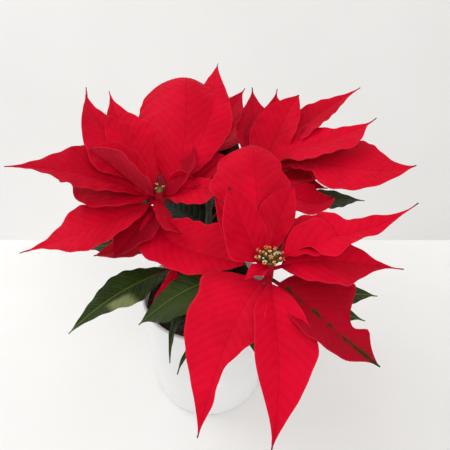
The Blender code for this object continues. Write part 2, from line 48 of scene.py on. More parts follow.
# Pot and soil
POT_HEIGHT = 132.0
POT_BASE_RADIUS = 60.0
POT_RIM_RADIUS = 67.0
POT_WALL = 4.0
POT_FLOOR = 6.0
FOOT_ROUND = 3.0
FLOOR_ROUND = 3.0
POT_SIDES = 144
SOIL_TOP = 117.0
SOIL_SIDES = 120
SOIL_RINGS = 34
SOIL_SWELL = 2.2
SOIL_SWELLS = 7
SWELL_TURNS = (0.05, 0.35)
SOIL_ROUGHNESS = 0.5
SOIL_CLUMPS = 520
CLUMP_SIZES = (0.7, 2.6)
CLUMP_CLEARANCE = (3.0, 4.0)
CLUMP_SIDES = 5
CLUMP_RINGS = ((-0.48, 0.5, 0.0), (0.0, 1.0, 0.5), (0.45, 0.55, 0.0))
SOIL_FIBRES = 60
FIBRE_CLEARANCE = (4.0, 7.0)
FIBRE_LIFT = 0.9
FIBRE_STEP = 2.5
FIBRE_RADII = (0.35, 0.45, 0.25)

# Trunk, stems and heads
TRUNK_RADIUS = 6.0
TRUNK_FOOT = 75.0
TRUNK_TOP = 134.0
TRUNK_RINGS = ((TRUNK_FOOT, 5.7), (95.0, 5.7), (118.0, 5.7), (130.0, 5.5), (137.0, 4.1))
TRUNK_SCARS = (121.0, 128.0)
STUB_LENGTH = 16.0
STUB_RADIUS = 4.4
STUB_RISE = 0.9
STUB_TAPER = 0.03
STEM_RADIUS = 3.6
STEM_TAPER = 0.5
STEM_FIRST_BEND = 0.35
STEM_LAST_BEND = 0.45
HEAD_STEM_RADII = (2.8, 3.2, 3.8)
HEAD_STEM_LENGTH = 38.0
STEM_SIDES = 24
LEAF_KNOB = 0.6
SMALL_KNOB = 0.3
KNOB_REACH = 2.2

# Flowers
FLOWER_SEAT_RADII = (3.6, 3.0)
FLOWER_SEAT_HEIGHT = 2.0
CUP_RADIUS = 1.8
CUP_LENGTH = 4.5
CUP_OUTLINE = (
    (0.0, 0.45), (0.12, 0.72), (0.35, 0.98), (0.6, 1.0), (0.8, 0.88), (0.94, 0.66), (1.0, 0.5),
)
LIP_OUTLINE = ((0.25, -0.5), (0.85, -0.25), (1.0, 0.1), (0.8, 0.35), (0.35, 0.12))
LIP_SIZE = 1.7
LIP_SIDES = 14
LIP_PLACE = (0.22, 0.85)
LIP_TILT = 1.2
STALK_RADII = (0.8, 0.75, 0.9)
STALK_FOOT = 1.2
STAMENS = 6
STAMEN_RADII = (0.3, 0.22)
STAMEN_LENGTHS = (1.6, 2.8)
STAMEN_DEPTH = 0.6
STAMEN_SHIFT = (-0.7, 0.7)
STAMEN_TILT = (-0.5, 0.5)
POLLEN_SHAPE = ((-0.3, 0.25), (0.0, 0.5), (0.35, 0.42), (0.6, 0.1))
OUTER_RING_TURN = 0.35

# Blades
TAIL_HALF_WIDTH = 0.35
STALK_HALF_WIDTH = 1.3
BASE_FULLNESS = 0.65
MARGIN_STEP = 1.7
LOBE_SPAN = 0.16
LOBE_ROUNDNESS = 1.6
BLADE_THICKNESS = 0.5
ROW_LENGTH = 2.6
LEAST_ROWS = 14
HALF_COLUMNS = 10
MARGIN_CROWDING = 1.15
FRILL_HEIGHT = 0.9
FRILL_LENGTH = 15.0
FRILL_STEP = 2.3
VEIN_SPACING = 8.5
VEIN_SWEEP = 0.75
VEIN_BEND = 0.008
VEIN_OFFSET = 0.37
PUCKER = 0.45
PUCKER_START = 1.0
PUCKER_FULL = 7.0
GROOVE_DEPTH = 0.25
MIDRIB_DEPTH = 1.5
MIDRIB_TIP_DEPTH = 0.15
MIDRIB_HALF_WIDTH = 1.6
PHASES = 6.28

# Studio, in metres, watts and degrees, with the lens and sensor in mm. Table and wall are
# given by two corners, and each lamp by its place, target, size and power.
TABLE_CORNERS = ((-1.6, -1.2, -0.03), (1.6, 0.25, 0.0))
WALL_CORNERS = ((-3.0, 1.3, -2.5), (3.0, 1.35, 2.5))
LAMPS = {
    "window_left": ((-1.3, 0.5, 1.3), (0.0, 0.0, 0.15), (1.2, 1.2), 11.0),
    "window_front": ((0.5, -1.3, 1.5), (0.0, 0.0, 0.15), (1.4, 1.0), 9.0),
    "wall_glow": ((-0.5, 0.75, -1.1), (-0.5, 1.3, -0.6), (1.6, 0.5), 1.7),
}
ROOM_COLOUR = (1.0, 0.99, 0.975, 1.0)
ROOM_LIGHT = 0.79
CAMERA_PLACE = (0.019, -0.354, 0.479)
CAMERA_DIP = 36.6
CAMERA_LENS = 38.0
CAMERA_SENSOR = 36.0

# Colours of single features
BRACT_TIP = (0.06, 0.008, 0.01)
BRACT_GREEN = (0.022, 0.026, 0.008)
LEAF_STALK = (0.22, 0.05, 0.03)
# A pale patch of painted reflection on one leaf's face
LEAF_PAINTED_REFLECTION = (0.25, 0.31, 0.12)
# Painted shade for leaves that lie deep inside the plant
LEAF_PAINTED_SHADE = (0.004, 0.008, 0.003)

# Where the top of each stem is
HEADS = {
    "front": (53, -80, 240),
    "left": (-40, 6, 250),
    "right": (50, 42, 252),
    "back": (2, 80, 260),
}


class Blade:
    """One bract or leaf. It has the values below wherever its row gives no other."""

    # How far below the top of the stem it grows. For a leaf, how far up the stem, 0 to 1.
    drop = 5.0
    # How far along the straight line to the tip the midrib's two bends are, and how far each
    # bend lifts the midrib off that line and carries it to the right.
    reach = (0.33, 0.67)
    arch = (0.0, 0.0)
    sway = (0.0, 0.0)
    # Where it is widest, how far the tip is drawn out, and the share that is bare stalk.
    belly = 0.40
    tail = 1.6
    petiole = 0.1
    # Left and right, in degrees: how far each half rises, and how much further its margin turns.
    fold = (14.0, 14.0)
    curl = (0.0, 0.0)
    # Turn about the midrib at the base and at the tip, in degrees.
    roll = (0.0, 0.0)
    # Each lobe's place, how far it stands out, and its side.
    lobes = ()
    # Height, count and phase of the ripple at the margin.
    wave = (1.5, 2.0, 0.0)
    # How much green a turning bract still has, how much painted shade darkens it where it lies
    # deep in the plant, and the place, length and side of a pale patch of painted reflection.
    green = 0.0
    dark = 0.0
    reflection_patch = None

    def __init__(self, tip, width, **shape):
        """tip: where its point is. width: of its left and its right half at the widest."""
        self.tip = tip
        self.width = width
        self.__dict__.update(shape)


# Bracts, by head and by the piece that a few of them make together
# A bract's dark value is painted shade, for bracts deep in the heads or under others.
BRACTS = {
    ("front", "low"): {
        "down": Blade(
            (51, -185, 160), (25, 20), drop=10, reach=(0.4, 0.65), arch=(26, 18), sway=(-2, -10),
            belly=0.48, fold=(6, 30), lobes=((0.47, 0.15, -1), (0.2, 0.12, 1)),
        ),
        "down_left": Blade(
            (0, -181, 170), (22, 38), drop=13, arch=(18, 9), sway=(10, 6), belly=0.33,
            petiole=0.08, fold=(16, 0), lobes=((0.12, 0.4, 1), (0.55, -0.3, -1), (0.68, -0.3, -1)),
        ),
        "low_right": Blade(
            (132, -138, 190), (42, 26), drop=15, arch=(8, 6), sway=(0, 8), belly=0.45,
            lobes=((0.64, -0.5, -1), (0.4, 0.1, 1), (0.75, 0.15, 1)), green=1.0, dark=0.6,
        ),
    },
    ("front", "side"): {
        "right": Blade(
            (156, -82, 235), (25, 27), drop=7, reach=(0.3, 0.6), arch=(14, 7), belly=0.45,
            tail=2.6, fold=(16, 4), lobes=((0.5, 0.12, 1),),
        ),
        "far_right": Blade(
            (164, -58, 280), (20, 18), drop=4, reach=(0.35, 0.45), arch=(8, 0), sway=(-20, 20),
            tail=1.8, fold=(16, 10), lobes=((0.22, 0.5, -1), (0.2, -0.3, 1), (0.5, 0.3, 1)),
            wave=(4, 3, 0.5),
        ),
        "right_back": Blade(
            (104, -80, 254), (22, 10), arch=(10, 8), sway=(-6, -4), belly=0.5, tail=0.8,
            petiole=0.25, fold=(35, 0),
        ),
        "small_left": Blade((33, -96, 236), (7, 7), drop=3, arch=(2, 2)),
    },
    ("front", "upper"): {
        "up_left": Blade(
            (22, -52, 290), (26, 18), drop=6, arch=(-20, -8), belly=0.55, tail=1.0, petiole=0.2,
            fold=(10, 10), lobes=((0.3, 0.2, -1),),
        ),
        "up_right": Blade(
            (73, -36, 282), (17, 13), arch=(-14, -4), sway=(-8, -6), belly=0.55, tail=1.1,
            petiole=0.22, dark=0.15,
        ),
        "arched": Blade(
            (43, 14, 292), (33, 29), drop=9, reach=(0.3, 0.62), arch=(-2, 30), sway=(-4, -5),
            belly=0.75, tail=0.12, petiole=0.15, fold=(-12, -16), curl=(-24, -28),
            lobes=((0.56, 0.3, -1), (0.6, 0.35, 1)),
        ),
        "behind_left": Blade(
            (10, -20, 264), (12, 14), drop=10, arch=(-8, -3), sway=(-1, -7), petiole=0.2,
        ),
    },
    ("left", "far"): {
        "left": Blade(
            (-167, -3, 280), (22, 34), drop=12, reach=(0.25, 0.7), arch=(12, 14), sway=(8, -4),
            belly=0.45, tail=2.4, fold=(6, 18), dark=0.3,
        ),
        "low_left": Blade(
            (-138, 28, 250), (31, 24), drop=6, reach=(0.25, 0.68), arch=(6, 8), sway=(-14, -12),
            belly=0.5, fold=(4, 25), lobes=((0.6, -0.15, -1), (0.75, -0.4, -1)), dark=0.3,
        ),
        "front_left": Blade(
            (-155, -45, 220), (24, 27), drop=8, reach=(0.32, 0.75), arch=(6, 4), sway=(-18, -10),
            belly=0.5, tail=3.0, fold=(0, 10), lobes=((0.5, 0.12, 1),),
        ),
    },
    ("left", "back"): {
        "back_left": Blade(
            (-117, 100, 310), (32, 20), drop=11, reach=(0.42, 0.5), arch=(-2, 30), sway=(6, -34),
            tail=2.6, lobes=((0.3, 0.2, -1),), dark=0.15,
        ),
        "back_mid": Blade(
            (-96, 103, 305), (20, 28), drop=9, reach=(0.35, 0.5), arch=(6, 20), sway=(-6, -14),
            belly=0.45, tail=2.2,
        ),
        "broad_back": Blade(
            (-20, 130, 278), (60, 38), drop=6, reach=(0.05, 0.72), arch=(10, 120), sway=(38, 4),
            belly=0.46, tail=1.0, fold=(-6, -8), curl=(-44, -40), wave=(1.0, 2.0, 0.0),
        ),
        "tall_right": Blade(
            (12, 129, 324), (20, 20), reach=(0.23, 0.58), arch=(27, 23), sway=(46, 15), belly=0.48,
            tail=1.7, fold=(0, -6), curl=(0, -20), lobes=((0.42, 0.15, 1), (0.2, -0.45, -1)),
            wave=(1.0, 2.0, 0.0),
        ),
    },
    ("left", "near"): {
        "big_front": Blade(
            (36, -63, 223), (27, 26), drop=8, reach=(0.06, 0.71), arch=(-30, -6), sway=(38, 11),
            belly=0.5, tail=1.1, fold=(30, -4), curl=(20, -6),
            lobes=((0.22, -0.15, -1), (0.75, 0.3, -1), (0.3, 0.15, 1)),
        ),
        "collar": Blade(
            (-18, -38, 236), (16, 6), drop=6, arch=(1, -3), sway=(9, 12), belly=0.45, tail=0.8,
            petiole=0.05, fold=(0, 0), curl=(0, -60), roll=(45, 45), dark=0.3,
        ),
        "under_front": Blade(
            (-100, -25, 200), (18, 20), drop=34, arch=(-2, 0), sway=(-16, -12), belly=0.5,
            green=0.3, dark=0.3,
        ),
        "hanging": Blade(
            (-47, -71, 166), (9, 9), drop=34, reach=(0.43, 0.58), arch=(-5, -5), sway=(-18, -24),
            belly=0.6, tail=0.9, petiole=0.45,
        ),
        "shaded": Blade(
            (-76, -44, 214), (22, 22), drop=16, arch=(2, 2), belly=0.45, tail=1.2, petiole=0.05,
            dark=0.8,
        ),
        "under_back": Blade((-58, 108, 222), (26, 28), drop=20, belly=0.45, petiole=0.04, dark=1.0),
    },
    ("left", "inner"): {
        "folded": Blade(
            (-97, 12, 288), (28, 22), drop=8, arch=(-8, 6), belly=0.6, tail=1.0, fold=(60, 34),
            curl=(0, 20),
        ),
        "small_back": Blade(
            (-6, 9, 257), (18, 8), sway=(-9, 0), belly=0.5, tail=0.7, petiole=0.25, fold=(55, -10),
            curl=(70, 0),
        ),
        "small_right": Blade(
            (18, -13, 267), (10, 17), drop=7, reach=(0.26, 0.69), arch=(8, -3), sway=(-10, 1),
            belly=0.5, tail=0.8, petiole=0.06, fold=(40, -25),
        ),
        "small_dark": Blade(
            (-9, 28, 282), (9, 10), drop=6, reach=(0.24, 0.75), arch=(2, -2), sway=(18, 11),
            belly=0.5, tail=1.2, dark=0.7,
        ),
        "upright_right": Blade(
            (21, 26, 274), (20, 16), drop=6, arch=(-6, 1), sway=(7, 4), belly=0.6, tail=0.8,
            fold=(24, 10), dark=0.4,
        ),
    },
    ("right", "back"): {
        "left_back": Blade((48, 143, 294), (20, 22), drop=8, arch=(2, 0), tail=2.0, dark=0.35),
        "back_a": Blade(
            (73, 125, 299), (20, 22), drop=9, arch=(0, -4), tail=2.0, lobes=((0.75, 0.3, 1),),
            dark=0.2,
        ),
        "back_b": Blade((93, 106, 300), (27, 20), arch=(-2, 8), tail=1.2),
        "far_back": Blade(
            (159, 126, 300), (20, 22), drop=7, reach=(0.31, 0.5), arch=(14, 14), sway=(-8, 2),
            belly=0.42, dark=0.2,
        ),
    },
    ("right", "side"): {
        "far_right": Blade(
            (158, 55, 298), (24, 30), drop=12, reach=(0.18, 0.69), arch=(31, -6), sway=(-7, 9),
            belly=0.45, tail=1.9, fold=(10, 4),
            lobes=((0.2, -0.45, 1), (0.42, 0.3, -1), (0.66, -0.2, -1), (0.75, 0.35, 1)),
        ),
        "right": Blade(
            (181, -1, 280), (42, 34), drop=15, reach=(0.21, 0.68), arch=(30, -4), sway=(-29, 23),
            belly=0.55, tail=1.5, fold=(10, -4), lobes=((0.18, -0.5, 1), (0.36, -0.5, 1)),
        ),
    },
    ("right", "inner"): {
        "front": Blade(
            (118, 6, 243), (22, 26), drop=24, reach=(0.22, 0.73), arch=(31, -11), sway=(13, 26),
            belly=0.7, tail=0.7,
        ),
        "cupped": Blade((115, 23, 242), (22, 18), drop=18, arch=(-4, 0), fold=(24, 24), dark=0.5),
        "low_right": Blade((170, 70, 238), (24, 24), drop=20, arch=(6, 8), green=0.5),
        "low_back": Blade((130, 128, 248), (24, 24), drop=18, arch=(6, 8)),
    },
    ("back", "upper"): {
        "right": Blade((40, 137, 295), (20, 20), drop=6, arch=(2, 2), tail=2.0, dark=0.4),
        "left": Blade((-52, 142, 284), (26, 26), drop=8, arch=(0, 2)),
        "inner": Blade((-10, 118, 290), (13, 13), arch=(-8, -2)),
        "near": Blade((6, 50, 230), (14, 14), drop=12, belly=0.5, dark=1.0),
    },
    ("back", "low"): {
        "low_left": Blade((-30, 186, 240), (26, 26), drop=16, arch=(10, 12)),
        "low_right": Blade((58, 184, 234), (26, 26), drop=18, arch=(10, 12)),
        "far_left": Blade((-82, 128, 248), (24, 24), drop=20, arch=(6, 8)),
    },
}

# How many flowers stand in each ring of a head, how far out and how high, and how big they are
FLOWER_RINGS = {
    "front": ((4, 3.0, 4.5, 1.0), (8, 6.6, 4.5, 0.9)),
    "left": ((3, 2.6, 2.5, 0.5),),
    "right": ((5, 5.0, 6.0, 0.9),),
    "back": ((5, 5.0, 7.0, 0.9),),
}

# A leaf's dark value is painted shade, for leaves deep inside the plant.
LEAVES = {
    "front": {
        "left": Blade(
            (-54, -83, 173), (37, 17), drop=0.97, reach=(0.25, 0.76), arch=(45, 13), sway=(20, 12),
            belly=0.6, tail=1.9, petiole=0.2,
        ),
        "hanging": Blade(
            (-27, -106, 152), (9, 9), drop=0.75, reach=(0.46, 0.85), arch=(50, 44), sway=(20, 24),
            belly=0.5, tail=1.4, petiole=0.2, dark=0.6,
        ),
        "low_hanging": Blade(
            (-22, -104, 134), (6, 6), drop=0.5, reach=(0.43, 0.8), arch=(34, 20), sway=(-16, 6),
            petiole=0.2, dark=0.6,
        ),
        "front": Blade((46, -100, 150), (16, 16), drop=0.8, arch=(12, 12), petiole=0.2),
        "right": Blade((153, -56, 180), (18, 18), drop=0.9, arch=(8, 10), petiole=0.2),
        "low_right": Blade((140, -74, 168), (18, 18), drop=0.75, arch=(8, 12), petiole=0.2),
        "inner": Blade((8, -22, 204), (14, 14), drop=0.9, belly=0.5, petiole=0.3, dark=1.0),
    },
    "left": {
        # Its pale patch is painted reflection.
        "front": Blade(
            (-120, -73, 150), (24, 18), drop=0.3, arch=(14, 18), belly=0.45,
            lobes=((0.45, 0.15, -1),), reflection_patch=(0.6, 0.11, -1),
        ),
        "left": Blade((-99, 23, 180), (20, 20), drop=0.85, arch=(6, 6), petiole=0.2, dark=0.6),
        "back": Blade((-110, 70, 200), (20, 20), drop=0.8, arch=(8, 10), petiole=0.2),
        "low_left": Blade((-128, 20, 170), (20, 20), drop=0.5, arch=(10, 14), petiole=0.2),
    },
    "right": {
        "right": Blade((170, 74, 194), (18, 22), drop=0.85, arch=(6, 10), petiole=0.25, dark=0.6),
        "low_right": Blade((147, -8, 188), (20, 20), drop=0.7, arch=(8, 12), petiole=0.2),
        "back": Blade((110, 128, 195), (20, 20), drop=0.8, arch=(8, 12), petiole=0.2),
        "low_front": Blade((126, 30, 150), (18, 18), drop=0.4, arch=(12, 14), petiole=0.2),
    },
    "back": {
        "left": Blade((-62, 130, 190), (20, 20), drop=0.8, arch=(8, 12), petiole=0.2, dark=0.8),
        "back": Blade((16, 168, 180), (20, 20), drop=0.7, arch=(8, 14), petiole=0.2),
        "right": Blade((62, 132, 165), (20, 20), drop=0.55, arch=(8, 12), petiole=0.2),
        "inner_left": Blade((-62, 112, 170), (26, 28), drop=0.5, belly=0.5, dark=1.0),
        "inner_front": Blade((0, 10, 160), (26, 26), drop=0.4, belly=0.5, dark=1.0),
        "inner_right": Blade((34, 84, 172), (24, 26), drop=0.45, belly=0.5, dark=1.0),
        "inner_back": Blade((4, 136, 168), (26, 26), drop=0.4, belly=0.5, dark=1.0),
        "upper": Blade((34, 140, 236), (16, 16), drop=0.97, belly=0.5, dark=0.9),
    },
}


def unit(v):
    return v / np.linalg.norm(v)


def smooth_step(low, high, x):
    t = np.clip((x - low) / (high - low), 0.0, 1.0)
    return t * t * (3 - 2 * t)


def bezier(points, t):
    a, b, c, d = points
    s = 1 - t
    place = s**3 * a + 3 * s * s * t * b + 3 * s * t * t * c + t**3 * d
    along = 3 * s * s * (b - a) + 6 * s * t * (c - b) + 3 * t * t * (d - c)
    return place, along


def half_width(spec, t, side):
    """Distance from the midrib to the margin at t, 0 at the stem and 1 at the tip."""
    if t <= spec.petiole:
        return STALK_HALF_WIDTH
    width = spec.width[0 if side < 0 else 1]
    u = (t - spec.petiole) / (1 - spec.petiole)
    if u < spec.belly:
        shape = math.sin(math.pi / 2 * u / spec.belly) ** BASE_FULLNESS
    else:
        v = (u - spec.belly) / (1 - spec.belly)
        shape = (1 - v) ** spec.tail * (1 + spec.tail * v)
    for place, amount, lobe_side in spec.lobes:
        if lobe_side == side:
            away = min(1.0, abs(u - place) / LOBE_SPAN)
            shape += amount * math.cos(away * math.pi / 2) ** LOBE_ROUNDNESS
    return max(STALK_HALF_WIDTH * (1 - u) + TAIL_HALF_WIDTH * u, width * shape)


def curve_length(points, steps=24):
    line = np.array([bezier(points, i / steps)[0] for i in range(steps + 1)])
    return np.linalg.norm(np.diff(line, axis=0), axis=1).sum()


class Sheet:
    """The upper and lower face of one blade, point by point, with what its finish needs."""

    def __init__(self, spec, root, seed):
        tip = np.array(spec.tip, float)
        chord = tip - root
        right = unit(np.cross(chord, UP))
        bends = [
            root + chord * share + UP * rise + right * shift
            for share, rise, shift in zip(spec.reach, spec.arch, spec.sway)
        ]
        midrib = (root, *bends, tip)
        chance = random.Random(seed)
        length = curve_length(midrib)
        rows = max(LEAST_ROWS, round(length / ROW_LENGTH))
        columns = 2 * HALF_COLUMNS + 1
        height, count, phase = spec.wave
        frill_phase = chance.uniform(0, PHASES)
        frill_count = length / FRILL_LENGTH
        self.rows, self.columns = rows + 1, columns
        middle = np.zeros((rows + 1, columns, 3))
        self.along, self.off, self.share = np.zeros((3, rows + 1, columns))
        for i in range(rows + 1):
            t = i / rows
            place, way = bezier(midrib, t)
            way = unit(way)
            across = unit(right - way * np.dot(right, way))
            out = np.cross(across, way)
            turn = math.radians(spec.roll[0] * (1 - t) + spec.roll[1] * t)
            across, out = (
                across * math.cos(turn) + out * math.sin(turn),
                out * math.cos(turn) - across * math.sin(turn),
            )
            middle[i, HALF_COLUMNS] = place
            self.along[i] = t
            fullness = math.sin(math.pi * t)
            for side, k in ((-1, 0), (1, 1)):
                width = half_width(spec, t, side)
                ripple = math.sin(math.tau * count * t + phase + MARGIN_STEP * side)
                frill = math.sin(math.tau * frill_count * t + frill_phase + FRILL_STEP * side)
                spot = place
                last = 0.0
                for j in range(1, HALF_COLUMNS + 1):
                    share = (j / HALF_COLUMNS) ** MARGIN_CROWDING
                    bent = spec.curl[k] * (share + last) / 2
                    angle = math.radians(spec.fold[k] + bent)
                    step = across * side * math.cos(angle) + out * math.sin(angle)
                    spot = spot + step * width * (share - last)
                    lift = height * share**2 * ripple + FRILL_HEIGHT * share**3 * frill
                    column = HALF_COLUMNS + side * j
                    middle[i, column] = spot + out * lift * fullness
                    self.off[i, column] = width * share
                    self.share[i, column] = share
                    last = share
        start = self.along * length - VEIN_SWEEP * self.off - VEIN_BEND * self.off**2
        on_right = np.arange(columns) > HALF_COLUMNS
        self.ribs = start / VEIN_SPACING + chance.uniform(0, 1) + VEIN_OFFSET * on_right
        normals = self.normals(middle)
        puff = np.abs(np.sin(math.pi * self.ribs)) ** 0.8
        puff *= smooth_step(PUCKER_START, PUCKER_FULL, self.off) * smooth_step(1.0, 0.8, self.share)
        groove = GROOVE_DEPTH * np.exp(-((self.off / MIDRIB_HALF_WIDTH) ** 2))
        middle = middle + normals * (PUCKER * puff - groove)[..., None]
        ridge = MIDRIB_DEPTH * (1 - self.along) ** 0.8 + MIDRIB_TIP_DEPTH
        ridge *= np.sqrt(np.clip(1 - (self.off / MIDRIB_HALF_WIDTH) ** 2, 0, 1))
        self.upper = middle + normals * (BLADE_THICKNESS / 2)
        self.lower = middle - normals * (BLADE_THICKNESS / 2 + ridge)[..., None]
        self.tone = chance.uniform(-1, 1)

    @staticmethod
    def normals(sheet):
        """The direction straight out of the upper face at each point."""
        normals = np.cross(np.gradient(sheet, axis=1), np.gradient(sheet, axis=0))
        return normals / np.maximum(np.linalg.norm(normals, axis=2, keepdims=True), 1e-9)


class Piece:
    """Points and faces gathered for one object, with the finish of each face."""

    def __init__(self):
        self.points = []
        self.faces = []
        self.looks = []
        names = ("along", "off", "share", "ribs", "tone", "green", "dark", "pale")
        self.fields = {name: [] for name in names}

    def add(self, points, faces, look=0, **fields):
        start = len(self.points)
        self.points.extend(map(tuple, points))
        self.faces.extend(tuple(start + k for k in face) for face in faces)
        self.looks.extend([look] * len(faces) if np.ndim(look) == 0 else look)
        for name, values in self.fields.items():
            given = fields.get(name, 0.0)
            if np.ndim(given) == 0:
                given = [float(given)] * len(points)
            values.extend(given)

    def add_blade(self, spec, root, seed):
        """A blade's two faces and the rim between them."""
        sheet = Sheet(spec, root, seed)
        rows, columns = sheet.rows, sheet.columns
        under_start = rows * columns
        top, below = [], []
        for i in range(rows - 1):
            for j in range(columns - 1):
                a = i * columns + j
                quad = (a, a + 1, a + columns + 1, a + columns)
                top.append(quad)
                below.append(tuple(under_start + k for k in reversed(quad)))
        ring = list(range(columns))
        ring += [i * columns + columns - 1 for i in range(1, rows)]
        ring += [(rows - 1) * columns + j for j in range(columns - 2, -1, -1)]
        ring += [i * columns for i in range(rows - 2, 0, -1)]
        rim = [
            (a, a + under_start, b + under_start, b) for a, b in zip(ring, ring[1:] + ring[:1])
        ]
        points = np.concatenate([sheet.upper.reshape(-1, 3), sheet.lower.reshape(-1, 3)])
        fields = {
            name: np.concatenate([getattr(sheet, name).reshape(-1)] * 2)
            for name in ("along", "off", "share", "ribs")
        }
        # The pale patch is a painted reflection on the leaf's face.
        if spec.reflection_patch:
            place, length, side = spec.reflection_patch
            pale = np.clip(2 - 2 * np.abs(sheet.along - place) / length, 0, 1)
            pale *= smooth_step(0.2, 0.45, sheet.share)
            pale *= side * (np.arange(columns) - HALF_COLUMNS) > 0
            fields["pale"] = np.concatenate([pale.reshape(-1)] * 2)
        fields.update(tone=sheet.tone, green=spec.green, dark=spec.dark)
        looks = [0] * len(top) + [1] * len(below) + [0] * len(rim)
        self.add(points, top + below + rim, looks, **fields)

    def build(self, name, finishes, angle=50):
        mesh = bpy.data.meshes.new(name)
        mesh.from_pydata([tuple(v * MM for v in p) for p in self.points], [], self.faces)
        mesh.update()
        for finish in finishes:
            mesh.materials.append(finish)
        mesh.polygons.foreach_set("material_index", self.looks)
        for field, values in self.fields.items():
            if any(values):
                layer = mesh.attributes.new(field, "FLOAT", "POINT")
                layer.data.foreach_set("value", np.array(values, np.float32))
        mesh.shade_smooth()
        mesh.set_sharp_from_angle(angle=math.radians(angle))
        body = bpy.data.objects.new(name, mesh)
        bpy.context.scene.collection.objects.link(body)
        return body


def ring_faces(rings, sides):
    """Faces between rings of points, and the two end faces."""
    faces = []
    for i in range(rings - 1):
        for k in range(sides):
            a = i * sides + k
            b = i * sides + (k + 1) % sides
            faces.append((a, b, b + sides, a + sides))
    last = (rings - 1) * sides
    return faces + [tuple(range(sides - 1, -1, -1)), tuple(range(last, last + sides))]


def turns_of(sides):
    return [math.tau * k / sides for k in range(sides)]


def tube(line, radii, sides, ends=None):
    """A closed round rod along a line of points. ends: the way it points at each end."""
    line = np.array(line, float)
    along = np.gradient(line, axis=0)
    if ends:
        along[0], along[-1] = ends
    along /= np.linalg.norm(along, axis=1, keepdims=True)
    side = np.array([1.0, 0.0, 0.0])
    if abs(along[0][0]) > 0.8:
        side = np.array([0.0, 1.0, 0.0])
    points = []
    for place, way, radius in zip(line, along, radii):
        side = unit(side - way * np.dot(side, way))
        other = np.cross(way, side)
        for turn in turns_of(sides):
            points.append(place + radius * (side * math.cos(turn) + other * math.sin(turn)))
    return points, ring_faces(len(line), sides)


def lathe(profile, sides, bump=None):
    """A closed body turned about the upright axis. The profile starts and ends on the axis."""
    points = [(0.0, 0.0, profile[0][1])]
    rings = profile[1:-1]
    for i, (radius, height) in enumerate(rings):
        for turn in turns_of(sides):
            x, y = radius * math.cos(turn), radius * math.sin(turn)
            points.append((x, y, height + (bump(i, x, y) if bump else 0.0)))
    points.append((0.0, 0.0, profile[-1][1]))
    top = len(points) - 1
    faces = []
    for k in range(sides):
        after = (k + 1) % sides
        faces.append((0, 1 + after, 1 + k))
        for i in range(len(rings) - 1):
            a = 1 + i * sides + k
            b = 1 + i * sides + after
            faces.append((a, b, b + sides, a + sides))
        last = 1 + (len(rings) - 1) * sides
        faces.append((last + k, last + after, top))
    return points, faces


def pot_radius(height):
    """Outer radius of the pot at a height."""
    share = height / POT_HEIGHT
    return POT_BASE_RADIUS + (POT_RIM_RADIUS - POT_BASE_RADIUS) * share


def rounded(centre, radius, first, last, steps):
    """Points on a quarter or half turn, as (radius, height) pairs of the pot's profile."""
    turns = [math.radians(first + (last - first) * k / steps) for k in range(steps + 1)]
    return [(centre[0] + radius * math.cos(a), centre[1] + radius * math.sin(a)) for a in turns]


def make_pot(glaze):
    """The pot, with a flat foot and a rounded rim."""
    half_wall = POT_WALL / 2
    rim = (POT_RIM_RADIUS - half_wall, POT_HEIGHT - half_wall)
    foot = (POT_BASE_RADIUS - FOOT_ROUND, FOOT_ROUND)
    profile = [(0.0, 0.0), (POT_BASE_RADIUS / 2, 0.0), (foot[0], 0.0)]
    profile += rounded(foot, FOOT_ROUND, -70, 0, 5)
    for height in np.linspace(FOOT_ROUND, rim[1], 13)[1:-1]:
        profile.append((pot_radius(height), height))
    profile += rounded(rim, half_wall, 0, 180, 12)
    for height in np.linspace(rim[1], POT_FLOOR + FLOOR_ROUND, 9)[1:]:
        profile.append((pot_radius(height) - POT_WALL, height))
    profile += [(pot_radius(POT_FLOOR) - POT_WALL - FLOOR_ROUND, POT_FLOOR), (0.0, POT_FLOOR)]
    pot = Piece()
    pot.add(*lathe(profile, POT_SIDES))
    return pot.build("glazed_pot", [glaze], 60)


